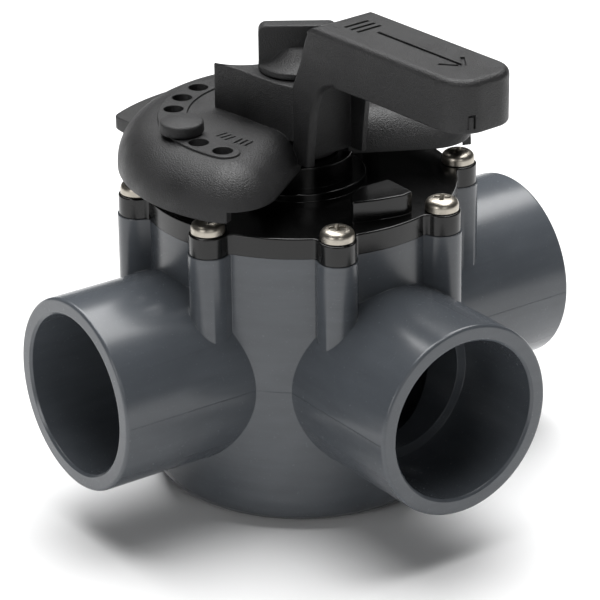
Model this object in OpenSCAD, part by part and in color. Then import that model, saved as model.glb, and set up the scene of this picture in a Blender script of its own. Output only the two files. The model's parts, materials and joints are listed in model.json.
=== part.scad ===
// Three way diverter valve for solvent-welded 2 inch nominal pipe.
// A round chamber with three pipe sockets, a bolted cover, a turning
// diverter that shuts one socket at a time, and an indexed lever handle.
// Base on the floor at z = 0, stem on the Z axis, branch socket towards -Y,
// run sockets towards -X and +X. Millimetres throughout.

/* [Sockets] */
// height of the socket centreline above the base
port_z = 57; // [50:0.5:70]
// distance from the stem axis to each socket face
port_reach = 101.3; // [90:0.1:120]
// outside radius of the sockets, equal to 2.5 inch pipe
port_r = 36.5; // [34:0.1:40]
// radius of the socket bore, a glue fit on 60.3 mm pipe
socket_r = 30.3; // [30.2:0.05:30.6]
// depth of the pipe socket
socket_depth = 38; // [30:0.5:45]
// radius of the waterway behind the socket shoulder
way_r = 26; // [22:0.5:28]
// chamfer on the outer edge of each socket face
port_edge = 1.3; // [0.5:0.1:2]

/* [Chamber] */
// outside radius of the chamber
body_r = 58.5; // [55:0.1:62]
// inside radius of the chamber
chamber_r = 53; // [50:0.1:54]
// height of the joint between body and cover
seam_z = 110; // [105:0.5:115]
// floor thickness
floor_t = 6; // [4:0.5:8]
// radius round the foot of the chamber
foot_round = 12.5; // [8:0.5:16]
// radius of the circle the cover screws stand on
screw_circle = 61.2; // [60:0.1:63]
// radius of the screw bosses on the body
boss_r = 7.5; // [7:0.1:8]
// height where the screw bosses run out
boss_low = 75; // [70:0.5:80]

/* [Cover] */
// radius of the cover rim
lid_r = 58.9; // [56:0.1:60]
// thickness of the cover rim
lid_t = 8; // [6:0.5:10]
// radius of the cover lugs
lug_r = 7; // [6.5:0.1:7.5]
// depth the cover spigot reaches into the chamber
spigot_h = 9; // [6:0.5:12]
// radius of the lower collar step
collar_a = 25; // [22:0.5:28]
// radius of the upper collar
collar_b = 19.8; // [16:0.1:22]
// height of the top of the upper collar
collar_top = 129.4; // [126:0.1:132]
// radius of the stem bore
stem_bore = 10; // [9:0.1:12]
// height of the travel stop on the cover
stop_h = 8; // [6:0.5:9]

/* [Stem and diverter] */
// radius of the stem journal
stem_r = 9.94; // [9.9:0.01:9.99]
// side of the square drive
drive_w = 13.8; // [13:0.1:14]
// outer radius of the diverter wall
div_r = 50.4; // [48:0.1:51]
// thickness of the diverter wall
div_t = 5; // [4:0.5:7]
// half angle of the diverter wall
div_half = 37; // [34:0.5:40]
// angle the diverter faces at rest
div_at = 94; // [80:1:100]

/* [Handle] */
// turn of the handle from the branch direction at rest
handle_turn = 4; // [-10:1:10]
// height of the top of the lever
lever_top = 187; // [180:0.5:190]
// depth of the lever walls
lever_h = 19.5; // [16:0.5:22]
// half width of the lever
lever_w = 14.3; // [12:0.1:16]
// distance from the stem axis to the lever tip
lever_tip = 104.5; // [95:0.5:120]
// corner radius of the lever tip
lever_corner = 10.5; // [6:0.5:12]
// height of the top of the hub block
hub_top = 161; // [158:0.5:165]
// height of the fan plate
fan_top = 142.9; // [140:0.1:146]
// largest radius of the hood
hood_r = 67.3; // [64:0.1:70]
// height of the lower edge of the hood
hood_low = 125; // [124:0.1:127]
// angle from the line across the lever where the hood ends
end_turn = 20.7; // [18:0.1:24]
// height of the lower edge at the hood ends
hood_end_low = 129; // [128:0.1:131]
// angle where the lower edge steps up
end_step = 206; // [200:0.5:215]
// radius of the tail flange opposite the lever
tail_r = 77.5; // [72:0.5:80]
// half width of the tail flange
tail_w = 34; // [28:0.5:38]
// corner radius of the tail flange
tail_round = 4; // [1:0.5:8]
// wall thickness of the handle moulding
skin = 3; // [2.4:0.1:4]
// radius of the circle of index holes
index_circle = 46.5; // [44:0.1:48]
// radius of an index hole
index_r = 3.75; // [3:0.05:4.5]
// angle of the stop pins either side of the lever line
pin_at = 15; // [15:15:45]

/* [Lock knob] */
// radius of the knob disc and half length of its wing
knob_r = 14.5; // [12:0.5:18]
// thickness of the knob wing
wing_t = 6.5; // [5:0.1:8]
// height of the top of the knob wing
wing_top = 178.6; // [176:0.1:184]
// direction of the knob wing
wing_at = -35; // [-90:1:90]

/* [Hidden] */
top_z = seam_z + lid_t;
ports = [180, 270, 0];
screws = [for (i = [0:7]) 22.5 + 45 * i];
lever_low = lever_top - lever_h;
block = [[-10.4, -47.8], [8.8, -52.8], [13.5, -52.1], [13.5, -37.2], [0.8, -37.4], [-6.5, -41.5]];
holes = [for (a = [105:15:195]) a];
hub_side = [[14.4, -14.5], [16.2, -6.7], [17, 2.4], [17.4, 12.5], [19.4, 26.3]];

// which piece to draw

$fn = 96;

// a quarter round profile point list, centre (cx, cz), radii a and b
function arc(cx, cz, a, b, from, to, n = 12) =
    [for (i = [0:n]) let (t = from + (to - from) * i / n) [cx + a * cos(t), cz + b * sin(t)]];

module ring(ro, ri, z0, z1) {
    translate([0, 0, z0]) difference() {
        cylinder(r = ro, h = z1 - z0);
        translate([0, 0, -1]) cylinder(r = ri, h = z1 - z0 + 2);
    }
}

module o_ring(rc, z, s) {
    translate([0, 0, z]) rotate_extrude() translate([rc, 0]) circle(r = s, $fn = 24);
}

// ---- body ---------------------------------------------------------------

module port_skin() {
    rotate([0, 90, 0]) rotate_extrude() polygon([
        [0, 20], [port_r, 20], [port_r, port_reach - port_edge],
        [port_r - port_edge, port_reach], [0, port_reach]]);
}

module port_hole() {
    rotate([0, 90, 0]) {
        cylinder(r = way_r, h = port_reach);
        translate([0, 0, port_reach - socket_depth]) cylinder(r = socket_r, h = socket_depth + 1);
        translate([0, 0, port_reach - 0.8]) cylinder(r1 = socket_r, r2 = socket_r + 1.2, h = 1.2);
    }
}

module valve_body() color([0.35, 0.37, 0.38]) difference() {
    union() {
        rotate_extrude() polygon(concat(
            [[0, 0]], arc(body_r - foot_round, foot_round, foot_round, foot_round, -90, 0, 10),
            [[body_r, seam_z], [0, seam_z]]));
        for (a = ports) translate([0, 0, port_z]) rotate(a) port_skin();
        for (a = screws) rotate(a) {
            translate([screw_circle, 0, boss_low]) cylinder(r = boss_r, h = seam_z - boss_low);
            translate([body_r - 12, -boss_r, boss_low])
                cube([screw_circle - body_r + 12, 2 * boss_r, seam_z - boss_low]);
        }
    }
    translate([0, 0, floor_t]) rotate_extrude() polygon(concat(
        [[0, 0]], arc(chamber_r - 7, 7, 7, 7, -90, 0, 8),
        [[chamber_r, seam_z], [0, seam_z]]));
    for (a = ports) translate([0, 0, port_z]) rotate(a) port_hole();
    for (a = screws) rotate(a) translate([screw_circle, 0, seam_z - 26]) cylinder(r = 2.5, h = 30, $fn = 32);
    translate([0, 0, seam_z - 1.2]) cylinder(r1 = chamber_r, r2 = chamber_r + 1.3, h = 1.3);
}

// ---- cover --------------------------------------------------------------

module lid_plan() {
    circle(r = lid_r);
    for (a = screws) rotate(a) {
        translate([screw_circle, 0]) circle(r = lug_r, $fn = 48);
        translate([lid_r - 12, -lug_r]) square([screw_circle - lid_r + 12, 2 * lug_r]);
    }
}

module lid() color([0.06, 0.06, 0.065]) difference() {
    union() {
        translate([0, 0, seam_z + 0.05]) linear_extrude(height = lid_t - 0.05) lid_plan();
        ring(chamber_r - 0.25, 45, seam_z - spigot_h, seam_z + 1);
        translate([0, 0, seam_z - 12]) cylinder(r = 18, h = 14);
        for (i = [0:7]) rotate(45 * i) translate([14, -1.5, seam_z - 6]) cube([34, 3, 7]);
        translate([0, 0, top_z - 1]) cylinder(r = collar_a, h = 4);
        translate([0, 0, top_z + 2]) cylinder(r = collar_b, h = collar_top - top_z - 2);
        translate([0, 0, top_z - 1]) linear_extrude(height = stop_h + 1) polygon(block);
    }
    // stem bore with a counterbore for the wiper at the top
    translate([0, 0, seam_z - 20]) cylinder(r = stem_bore, h = 60);
    translate([0, 0, collar_top - 3]) cylinder(r = 13, h = 5);
    // seal groove round the spigot
    ring(chamber_r + 2, chamber_r - 3.2, seam_z - 6.6, seam_z - 2.9);
    for (a = screws) rotate(a) translate([screw_circle, 0, seam_z - 1])
        cylinder(r = 2.9, h = lid_t + 3, $fn = 32);
}

module lid_o_ring() color([0.05, 0.05, 0.05]) o_ring(chamber_r - 1.62, seam_z - 4.75, 1.55);

module cover_screws() color([0.78, 0.76, 0.72])
    for (a = screws) rotate(a) translate([screw_circle, 0, top_z + 0.05]) difference() {
        rotate_extrude($fn = 48) polygon(concat(
            [[0, -24.2], [1.4, -24.2], [2.4, -21], [2.4, 0], [6, 0], [6.25, 0.5], [6.25, 1.3]],
            arc(0, 1.3, 6.25, 3.6, 0, 90, 8)));
        for (t = [0, 90]) rotate(t + 20) translate([-2.9, -0.65, 2.7]) cube([5.8, 1.3, 5]);
        translate([0, 0, 2.3]) cylinder(r1 = 0.8, r2 = 1.8, h = 3, $fn = 24);
    }

// ---- bearings and seals -------------------------------------------------

module pivot_bush() color([0.85, 0.85, 0.82]) difference() {
    union() {
        translate([0, 0, floor_t + 0.05]) cylinder(r = 12, h = 3);
        translate([0, 0, floor_t + 1]) cylinder(r = 9, h = 7);
    }
    translate([0, 0, floor_t + 1.5]) cylinder(r = 6.06, h = 20);
}

module thrust_washer() color([0.85, 0.85, 0.82]) ring(17, stem_bore + 0.3, seam_z - 13.3, seam_z - 12.05);

module stem_wiper() color([0.07, 0.07, 0.07]) ring(12.9, stem_bore + 0.02, collar_top - 2.9, collar_top);

module stem() color([0.12, 0.12, 0.125]) difference() {
    union() {
        translate([0, 0, seam_z - 13.4]) cylinder(r = stem_r, h = collar_top + 0.3 - seam_z + 13.4);
        translate([-drive_w / 2, -drive_w / 2, seam_z - 25]) cube([drive_w, drive_w, 25]);
        translate([0, 0, collar_top]) rotate(handle_turn) translate([-drive_w / 2, -drive_w / 2, -1])
            cube([drive_w, drive_w, 26]);
    }
    for (z = [seam_z - 5, seam_z + 7]) ring(12, 8, z - 1.3, z + 1.3);
    translate([0, 0, 132]) cylinder(r = 5.52, h = 40);
}

module stem_o_ring_upper() color([0.05, 0.05, 0.05]) o_ring(9.0, seam_z + 7, 0.94);

module stem_o_ring_lower() color([0.05, 0.05, 0.05]) o_ring(9.0, seam_z - 5, 0.94);

module stem_insert() color([0.72, 0.58, 0.3]) difference() {
    union() {
        ring(5.5, 3.95, 133, 154);
        for (z = [136, 141, 146, 151]) ring(5.5, 4.5, z, z + 1);
    }
    for (z = [138.2, 143.2, 148.2]) ring(6, 5, z, z + 1.2);
}

// ---- diverter -----------------------------------------------------------

module sector(ro, ri, half, z0, z1) {
    translate([0, 0, z0]) rotate(-half) rotate_extrude(angle = 2 * half)
        translate([ri, 0]) square([ro - ri, z1 - z0]);
}

module diverter() color([0.1, 0.1, 0.105]) rotate(div_at) difference() {
    union() {
        sector(div_r, div_r - div_t, div_half, 17.5, 95);
        // arms from the hubs to the wall
        for (z = [19, 88]) translate([0, -14, z]) cube([div_r - 3.4, 28, 5.5]);
        translate([0, 0, 84]) cylinder(r = 15, h = 12.4);
        translate([0, 0, 14.5]) cylinder(r = 12, h = 11);
        translate([0, 0, 8]) cylinder(r = 6, h = 9);
        // stiffening ribs behind the wall
        for (a = [-27, 27]) rotate(a) translate([div_r - div_t - 6, -1.5, 22]) cube([8, 3, 68]);
    }
    rotate(-div_at) translate([-drive_w / 2 - 0.06, -drive_w / 2 - 0.06, 84.9]) cube([drive_w + 0.12, drive_w + 0.12, 30]);
    // seat for the seal frame
    difference() {
        sector(div_r + 2, div_r - 2, div_half - 2, 20, 92);
        sector(div_r + 3, div_r - 3, div_half - 8, 28, 86);
    }
}

module diverter_seal() color([0.08, 0.08, 0.08]) rotate(div_at) difference() {
    sector(chamber_r - 0.32, div_r - 1.95, div_half - 2.1, 20.1, 91.9);
    sector(chamber_r + 3, div_r - 4, div_half - 7.9, 27.9, 86.1);
}

module seal_retainer() color([0.1, 0.1, 0.105]) rotate(div_at)
    sector(div_r + 1.2, div_r + 0.05, div_half - 9, 29, 85);

// ---- handle -------------------------------------------------------------

// hood over the rear of the fan, grown inwards by d
module hood(d, low) {
    rotate(-end_turn - 0.6) rotate_extrude(angle = 181.2 + 2 * end_turn) polygon(concat([[0, low], [0, fan_top - d]],
        arc(hood_r - 17, fan_top - 16.5, 17 - d, 16.5 - d, 90, 0, 12), [[hood_r - d, low]]));
}

// domed puck on the line where the hood ends
module puck(out, r, d, low) {
    flat = max(r - 17, 0.17);
    translate([out, 0, 0]) rotate_extrude($fn = 48) polygon(concat(
        [[0, low]], [[r - d, low]], arc(flat, fan_top - 16.53, r - flat - d, 16.5 - d, 12, 90, 8),
        [[0, fan_top - 0.03 - d]]));
}

module hood_end(side, d, low) {
    rotate(side > 0 ? -end_turn : 180 + end_turn) hull() {
        puck(hood_r - 17.6, 17.57, d, low);
        puck(15, 10.57, d, low);
    }
}

module fan_half_ring(ro, ri, z0, z1) {
    for (s = [0, 1]) mirror([s, 0, 0]) translate([0, 0, z0]) {
        rotate(-16.5) rotate_extrude(angle = 98.5) translate([ri, 0]) square([ro - ri, z1 - z0]);
        rotate(-16.5) translate([(ro + ri) / 2, 0, 0]) cylinder(r = (ro - ri) / 2, h = z1 - z0, $fn = 32);
    }
}

// flange plan with its two outer corners rounded
module tail_plan() {
    y = sqrt(pow(tail_r - tail_round, 2) - pow(tail_w - tail_round, 2));
    for (s = [-1, 1]) translate([s * (tail_w - tail_round), y]) circle(r = tail_round, $fn = 32);
    intersection() {
        circle(r = tail_r);
        translate([-tail_w + tail_round, 61]) square([2 * (tail_w - tail_round), 30]);
    }
    translate([-tail_w, 50]) square([2 * tail_w, y - 50]);
}

// straight sided lever with round tip corners and eased top edges
module lever_skin() {
    for (i = [0:4]) let (t = 22.5 * i) lever_slab(2.4 * (1 - cos(t)), lever_top - 2.4 + 2.4 * sin(t));
}

module lever_slab(d, z1) {
    w = lever_w - d;
    c = lever_corner - d;
    y = -lever_tip + lever_corner;
    h = z1 - lever_low;
    translate([-w, y, lever_low]) cube([2 * w, -24.6 - d - y, h]);
    translate([-w + c, y - c, lever_low]) cube([2 * (w - c), c + 1, h]);
    for (s = [-1, 1]) translate([s * (w - c), y, lever_low]) cylinder(r = c, h = h, $fn = 48);
}

module riser_side(x0, x1, pts) {
    translate([x0, 0, 0]) rotate([90, 0, 90]) linear_extrude(height = x1 - x0) polygon(pts);
}

module handle() color([0.09, 0.09, 0.095]) rotate(handle_turn) difference() {
    union() {
        difference() {
            union() {
                // hood and its two rounded ends
                hood(0, hood_low);
                for (s = [-1, 1]) hood_end(s, 0, hood_low);
                // short tail flange opposite the lever
                translate([0, 0, hood_low + 0.2]) linear_extrude(height = 5.6) tail_plan();
            }
            // hollow under the hood and its ends
            hood(skin, hood_low - 1);
            for (s = [-1, 1]) hood_end(s, skin, hood_low - 1);
            // raised lower edge round the ends
            translate([0, 0, hood_low - 1]) linear_extrude(height = hood_end_low - hood_low + 1) polygon(concat(
                [[0, -5]], [for (a = [end_step, 270, 540 - end_step]) 120 * [cos(a), sin(a)]]));
            // keep the plate's front open under the lever
            translate([-11.2, -60, 100]) cube([22.4, 60, 70]);
        }
        // raised strip that carries the index holes
        difference() {
            fan_half_ring(52, 41.2, fan_top - 1, fan_top + 0.7);
            translate([-lever_w, -10, fan_top - 2]) cube([2 * lever_w, 30, 6]);
        }
        // hub block with two horns
        translate([0, 0, fan_top - skin]) linear_extrude(height = hub_top - fan_top + skin) difference() {
            polygon(concat(hub_side, [for (i = [len(hub_side) - 1:-1:0]) [-hub_side[i][0], hub_side[i][1]]]));
            translate([0, 32]) circle(r = 20.3);
        }
        // hub column
        translate([0, 0, collar_top + 0.7]) cylinder(r = 14.6, h = hub_top - collar_top - 0.7);
        // lever and riser
        lever_skin();
        riser_side(-lever_w + 0.03, lever_w - 0.03, [[-13.2, 132], [-13.2, hub_top], [-18.6, 172.3], [-20.4, 179.4],
            [-22.2, 183], [-23.4, 184.5], [-40, 184.5], [-40, lever_low + 1],
            [-34, 166.3], [-29.8, 163.6], [-26.8, 159.8], [-25, 154], [-24.4, 148], [-23.2, 139.5], [-22.6, 132]]);
    }
    // hollow lever and riser
    difference() {
        translate([-lever_w + skin, -lever_tip + skin, lever_low - 1])
            cube([2 * (lever_w - skin), lever_tip - skin - 30, lever_h + 1 - skin]);
        for (y = [-90, -72, -54]) translate([-20, y, lever_low]) cube([40, 2.4, 40]);
        for (s = [-1, 1]) translate([s * lever_w, -lever_tip, lever_low - 2]) cylinder(r = 9, h = 40, $fn = 24);
    }
    difference() {
        riser_side(-lever_w + skin, lever_w - skin, [[-16.5, 120], [-16.5, hub_top + 1], [-21.8, 172.3], [-23.6, 179.4],
            [-26, lever_top - skin], [-45, lever_top - skin], [-45, 120]]);
        translate([0, 0, 120]) cylinder(r = 14.6, h = 80);
    }
    // clearance over the cover's collar
    translate([0, 0, 100]) cylinder(r = collar_b + 0.6, h = collar_top + 0.5 - 100);
    // clearance for the lock knob
    translate([0, 0, hub_top]) cylinder(r = knob_r + 1.2, h = 40);
    // square socket, screw hole and washer seat
    translate([-drive_w / 2 - 0.1, -drive_w / 2 - 0.1, collar_top]) cube([drive_w + 0.2, drive_w + 0.2, 25.4]);
    translate([0, 0, collar_top]) cylinder(r = 4.4, h = 60);
    translate([0, 0, hub_top - 1.6]) cylinder(r = 9.4, h = 5);
    // index holes
    for (a = holes) for (s = [0, 1]) mirror([s, 0, 0]) rotate(a)
        translate([index_circle, 0, fan_top - 12]) cylinder(r = index_r, h = 20, $fn = 32);
    // slot mark in the lever tip
    translate([-9, -lever_tip - 1, 170]) cube([1.8, 1.6, 4]);
}

// ---- knob and pins ------------------------------------------------------

module lock_knob() color([0.08, 0.08, 0.085]) difference() {
    union() {
        translate([0, 0, hub_top + 0.3]) rotate_extrude() polygon([
            [0, 0], [knob_r - 0.4, 0], [knob_r, 0.4], [knob_r, 2.3], [knob_r - 0.8, 2.9],
            [10, 5.2], [6, 8], [0, 9.2]]);
        rotate(wing_at) intersection() {
            translate([-knob_r, -wing_t / 2, hub_top + 1]) cube([2 * knob_r, wing_t, wing_top - hub_top - 1]);
            union() {
                translate([-knob_r, -10, hub_top]) cube([2 * knob_r, 20, wing_top - hub_top - 3]);
                for (s = [-1, 1]) translate([s * (knob_r - 3), 10, wing_top - 3]) rotate([90, 0, 0])
                    cylinder(r = 3, h = 20, $fn = 32);
                translate([-knob_r + 3, -10, wing_top - 6]) cube([2 * knob_r - 6, 20, 6]);
            }
        }
    }
    translate([0, 0, hub_top - 1]) cylinder(r = 4.05, h = 9);
}

module knob_screw() color([0.75, 0.74, 0.72]) translate([0, 0, 139]) difference() {
    union() {
        cylinder(r = 3.9, h = 29.8);
        translate([0, 0, 23.5]) cylinder(r = 4, h = 6.3);
    }
    for (i = [0:9]) ring(5, 3.4, 2 + 2 * i, 2.7 + 2 * i);
}

module knob_washer() color([0.75, 0.74, 0.72]) ring(9, 4.3, hub_top - 1.5, hub_top + 0.1);

module stop_pin() {
    translate([index_circle, 0, 0]) difference() {
        union() {
            rotate_extrude($fn = 48) polygon(concat(
                [[0, fan_top + 0.8], [7.8, fan_top + 0.8], [8.2, fan_top + 1.2], [8.2, fan_top + 4]],
                arc(0, fan_top + 4, 8.2, 2.2, 0, 90, 8)));
            translate([0, 0, 121]) cylinder(r = index_r - 0.07, h = fan_top - 119, $fn = 32);
        }
        translate([-0.6, -6, 118]) cube([1.2, 12, 14]);
    }
}

module stop_pin_left() color([0.09, 0.09, 0.095]) rotate(handle_turn + 180 - pin_at) stop_pin();

module stop_pin_right() color([0.09, 0.09, 0.095]) rotate(handle_turn + pin_at) stop_pin();

valve_body();
lid();
lid_o_ring();
cover_screws();
pivot_bush();
thrust_washer();
stem_wiper();
stem();
stem_o_ring_upper();
stem_o_ring_lower();
stem_insert();
diverter();
diverter_seal();
seal_retainer();
handle();
lock_knob();
knob_screw();
knob_washer();
stop_pin_left();
stop_pin_right();
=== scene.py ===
"""Finished model of a three way diverter valve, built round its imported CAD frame.

Shapes are drawn in millimetres, because every size on a valve is given so, and are scaled to metres
when a piece is made. The handle, its stop pins and its marks are drawn in the handle's own frame,
with the lever along -Y, and are then turned to where the handle rests.
"""

import json
from math import acos, atan2, cos, degrees, pi, radians, sin, sqrt
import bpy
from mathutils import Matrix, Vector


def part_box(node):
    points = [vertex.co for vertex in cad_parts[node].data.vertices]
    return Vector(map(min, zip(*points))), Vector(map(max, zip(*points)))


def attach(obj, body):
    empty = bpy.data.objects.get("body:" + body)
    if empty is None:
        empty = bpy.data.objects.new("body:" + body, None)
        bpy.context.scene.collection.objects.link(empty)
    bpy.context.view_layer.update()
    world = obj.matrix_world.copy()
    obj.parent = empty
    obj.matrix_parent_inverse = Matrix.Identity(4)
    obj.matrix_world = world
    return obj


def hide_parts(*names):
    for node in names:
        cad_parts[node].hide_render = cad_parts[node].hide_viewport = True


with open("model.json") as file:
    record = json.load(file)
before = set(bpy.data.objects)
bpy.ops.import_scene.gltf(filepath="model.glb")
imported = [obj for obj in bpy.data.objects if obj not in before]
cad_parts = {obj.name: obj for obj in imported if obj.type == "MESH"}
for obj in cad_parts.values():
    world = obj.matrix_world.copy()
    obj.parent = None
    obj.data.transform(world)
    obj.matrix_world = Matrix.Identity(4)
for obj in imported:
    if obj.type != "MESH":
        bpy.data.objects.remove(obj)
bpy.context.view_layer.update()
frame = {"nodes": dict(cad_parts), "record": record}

from types import SimpleNamespace

import bmesh
import bpy
from bpy.props import FloatProperty, FloatVectorProperty, PointerProperty, StringProperty
from bpy.types import Operator, Panel, PropertyGroup
from mathutils import Matrix, Vector

bl_info = {
    "name": "Three Way Valve",
    "version": (1, 0, 0),
    "blender": (4, 5, 0),
    "location": "View3D > Sidebar > Valve",
    "description": "Builds the body, cover, handle, knob and pins of a three way diverter valve",
    "category": "Mesh",
}

MM = 0.001
EIGHTH = pi / 4
SCREW_ANGLES = [EIGHTH * (i + 0.5) for i in range(8)]
PORT_ANGLES = [0, -pi / 2, pi]
PORT_ROOT = 20  # where a port starts, inside the chamber
SHOULDER_RISE = 16.5  # height of the hood's rounded shoulder
COLUMN_RADIUS = 14.6  # round column under the hub
SHARP_ANGLE = radians(35)  # edges sharper than this are shaded sharp


# ---- sizes -----------------------------------------------------------------------------------------


def length(name, default, description):
    """A length property; default is in millimetres."""
    return FloatProperty(name=name, default=default * MM, description=description, unit="LENGTH", precision=5)


def angle(name, degrees, description):
    return FloatProperty(name=name, default=radians(degrees), description=description, subtype="ANGLE")


def millimetres(group):
    """A group's lengths in millimetres, and its angles in radians."""
    values = {}
    for name in group.__annotations__:
        is_length = group.bl_rna.properties[name].unit == "LENGTH"
        values[name] = getattr(group, name) / MM if is_length else getattr(group, name)
    return SimpleNamespace(**values)


def top_of(node):
    """Height of a CAD node's top in millimetres."""
    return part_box(node)[1].z / MM


def mount(name):
    return next(m for m in frame["record"]["mounts"] if m["name"] == name)


class BodySizes(PropertyGroup):
    chamber_radius: length("Chamber radius", 58.5, "Outside radius of the round chamber")
    cavity_radius: length("Cavity radius", 53, "Inside radius of the chamber")
    floor_thickness: length("Floor thickness", 6, "Thickness of the chamber floor")
    foot_radius: length("Foot radius", 12.5, "Rounding between the chamber wall and its base")
    port_radius: length("Port radius", 36.5, "Outside radius of each pipe port")
    socket_depth: length("Socket depth", 38, "Depth of each pipe socket")
    way_radius: length("Waterway radius", 26, "Radius of the waterway behind the socket")
    port_edge: length("Port edge", 1.3, "Chamfer round the face of each port")
    screw_circle: length("Screw circle", 61.2, "Radius of the circle the cover screws stand on")
    boss_radius: length("Boss radius", 7.5, "Radius of each screw boss")
    boss_low: length("Boss foot", 75, "Height where the screw bosses run out")


class CoverSizes(PropertyGroup):
    rim_radius: length("Rim radius", 58.9, "Radius of the cover")
    lug_radius: length("Lug radius", 7, "Radius of the lug round each screw")
    lug_fillet: length("Lug fillet", 2.2, "Fillet between a lug and the rim")
    rim_height: length("Rim height", 8, "Thickness of the cover rim")
    step_radius: length("Collar step", 25, "Radius of the lower step of the collar")
    step_height: length("Step height", 3, "Height of the lower step above the cover")
    collar_radius: length("Collar radius", 19.8, "Radius of the collar round the stem")
    bore_radius: length("Bore radius", 13, "Radius of the wiper seat at the top of the collar")
    stop_height: length("Stop height", 8, "Height of the travel stop above the cover")
    edge: length("Edge", 0.6, "Rounding of the moulded edges")


class ScrewSizes(PropertyGroup):
    head_radius: length("Head radius", 6.25, "Radius of a pan head")
    rim_height: length("Rim height", 1.3, "Height of the straight rim of a head")
    head_height: length("Head height", 4.9, "Height of a pan head")
    recess_reach: length("Recess reach", 3.2, "Length of one arm of the cross recess")
    recess_width: length("Recess width", 1.5, "Width of one arm of the cross recess")
    recess_depth: length("Recess depth", 3.2, "Depth of the cross recess")
    shank_radius: length("Shank radius", 2.4, "Radius of the screw shank")
    shank_length: length("Shank length", 24, "Length of the screw shank")


class HandleSizes(PropertyGroup):
    turn: angle("Turn", 4, "Angle of the lever from the branch port at rest")
    hood_radius: length("Hood radius", 67.3, "Largest radius of the hood")
    hood_round: length("Hood round", 17, "Rounding of the hood's shoulder")
    hood_low: length("Hood foot", 125, "Height of the hood's lower edge")
    hood_end_low: length("Hood end foot", 129, "Height of the lower edge at the hood's ends")
    hood_end_turn: angle("Hood end turn", 20.7, "Angle from the line across the lever where the hood ends")
    plate_top: length("Plate top", 142.9, "Height of the index plate")
    strip_height: length("Strip height", 0.8, "Height of the raised strip round the index holes")
    index_circle: length("Index circle", 46.5, "Radius of the circle of index holes")
    index_radius: length("Index radius", 3.75, "Radius of an index hole")
    index_step: angle("Index step", 15, "Angle between two index holes")
    hub_top: length("Hub top", 161, "Height of the hub block")
    lever_top: length("Lever top", 187, "Height of the lever")
    lever_depth: length("Lever depth", 19.5, "Depth of the lever's side walls")
    lever_half_width: length("Lever half width", 14.3, "Half the width of the lever")
    lever_tip: length("Lever tip", 104.5, "Distance from the stem axis to the lever tip")
    tip_corner: length("Tip corner", 10.5, "Corner radius of the lever tip")
    lever_edge: length("Lever edge", 2.6, "Rounding of the lever's upper edges")
    skin: length("Wall", 3, "Wall thickness of the moulding")
    edge: length("Edge", 0.7, "Rounding of the other moulded edges")


class KnobSizes(PropertyGroup):
    radius: length("Radius", 14.5, "Radius of the knob disc and half the length of its wing")
    wing_thickness: length("Wing thickness", 6.5, "Thickness of the wing")
    wing_corner: length("Wing corner", 3, "Corner radius at the top of the wing")
    wing_turn: angle("Wing turn", -35, "Direction of the wing at rest")
    edge: length("Edge", 0.7, "Rounding of the moulded edges")


class PinSizes(PropertyGroup):
    offset: angle("Offset", 15, "Angle of each pin from the line across the lever")
    head_radius: length("Head radius", 8.2, "Radius of the pin head")
    shank_radius: length("Shank radius", 3.68, "Radius of the split shank")
    slot_width: length("Slot width", 1.2, "Width of the slot in the shank")


def colour(name, description, default):
    """A finish colour, as an sRGB hex value."""
    return StringProperty(name=name, description=description, default=default)


class FinishColours(PropertyGroup):
    grey_pvc: colour("Grey PVC", "Moulded body", "#474B50")
    grey_pvc_streak: colour("Grey PVC streak", "Flow marks in the moulded body", "#4D5156")
    gloss_abs: colour("Gloss ABS", "Polished black cover", "#050505")
    grained_abs: colour("Grained ABS", "Handle, knob and pins", "#0F0F10")
    stainless: colour("Stainless steel", "Cover screws", "#AEA89D")
    brass: colour("Brass", "Threaded insert", "#C59F52")
    nylon: colour("Nylon", "Stem and diverter", "#1B1B1D")
    rubber: colour("Nitrile rubber", "Seals", "#161616")
    acetal: colour("Acetal", "Bush and washer", "#E8E6DC")
    paper: colour("Paper", "Floor sweep", "#F4F4F4")


class CameraSettings(PropertyGroup):
    azimuth: angle("Azimuth", -34.99, "Direction of the view round the valve")
    elevation: angle("Elevation", 24.03, "Height of the view above the floor")
    roll: angle("Roll", -0.69, "Tilt of the picture")
    distance: length("Distance", 1200, "Distance from the camera to the valve")
    lens: FloatProperty(name="Lens", description="Focal length", default=190.5, unit="CAMERA")
    aim: FloatVectorProperty(
        name="Aim", description="Point the camera looks at", default=(-0.0007, 0.0011, 0.0754), subtype="XYZ",
        unit="LENGTH", precision=5,
    )
    shift: FloatVectorProperty(
        name="Shift", description="Shift of the picture, in widths", default=(0.0047, -0.0323), size=2,
        precision=4,
    )


# ---- solids ----------------------------------------------------------------------------------------


def solid(mesh_data):
    """A temporary object, in millimetres, from a finished bmesh."""
    bmesh.ops.recalc_face_normals(mesh_data, faces=mesh_data.faces)
    mesh = bpy.data.meshes.new("solid")
    mesh_data.to_mesh(mesh)
    mesh_data.free()
    obj = bpy.data.objects.new("solid", mesh)
    bpy.context.scene.collection.objects.link(obj)
    return obj


def loft(rings):
    """A closed solid through rings of points; each ring has as many points as the next."""
    shape = bmesh.new()
    loops = [[shape.verts.new(point) for point in ring] for ring in rings]
    for low, high in zip(loops, loops[1:]):
        for i in range(len(low)):
            j = (i + 1) % len(low)
            shape.faces.new((low[i], low[j], high[j], high[i]))
    shape.faces.new(reversed(loops[0]))
    shape.faces.new(loops[-1])
    return solid(shape)


def prism(outline, low, high):
    """An outline of (x, y) points extruded from one height to another."""
    return loft([[(x, y, z) for x, y in outline] for z in (low, high)])


def side_prism(outline, left, right):
    """An outline of (y, z) points extruded along X."""
    return loft([[(x, y, z) for y, z in outline] for x in (left, right)])


def box(low, high):
    (x0, y0, z0), (x1, y1, z1) = low, high
    return prism([(x0, y0), (x1, y0), (x1, y1), (x0, y1)], z0, z1)


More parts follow.
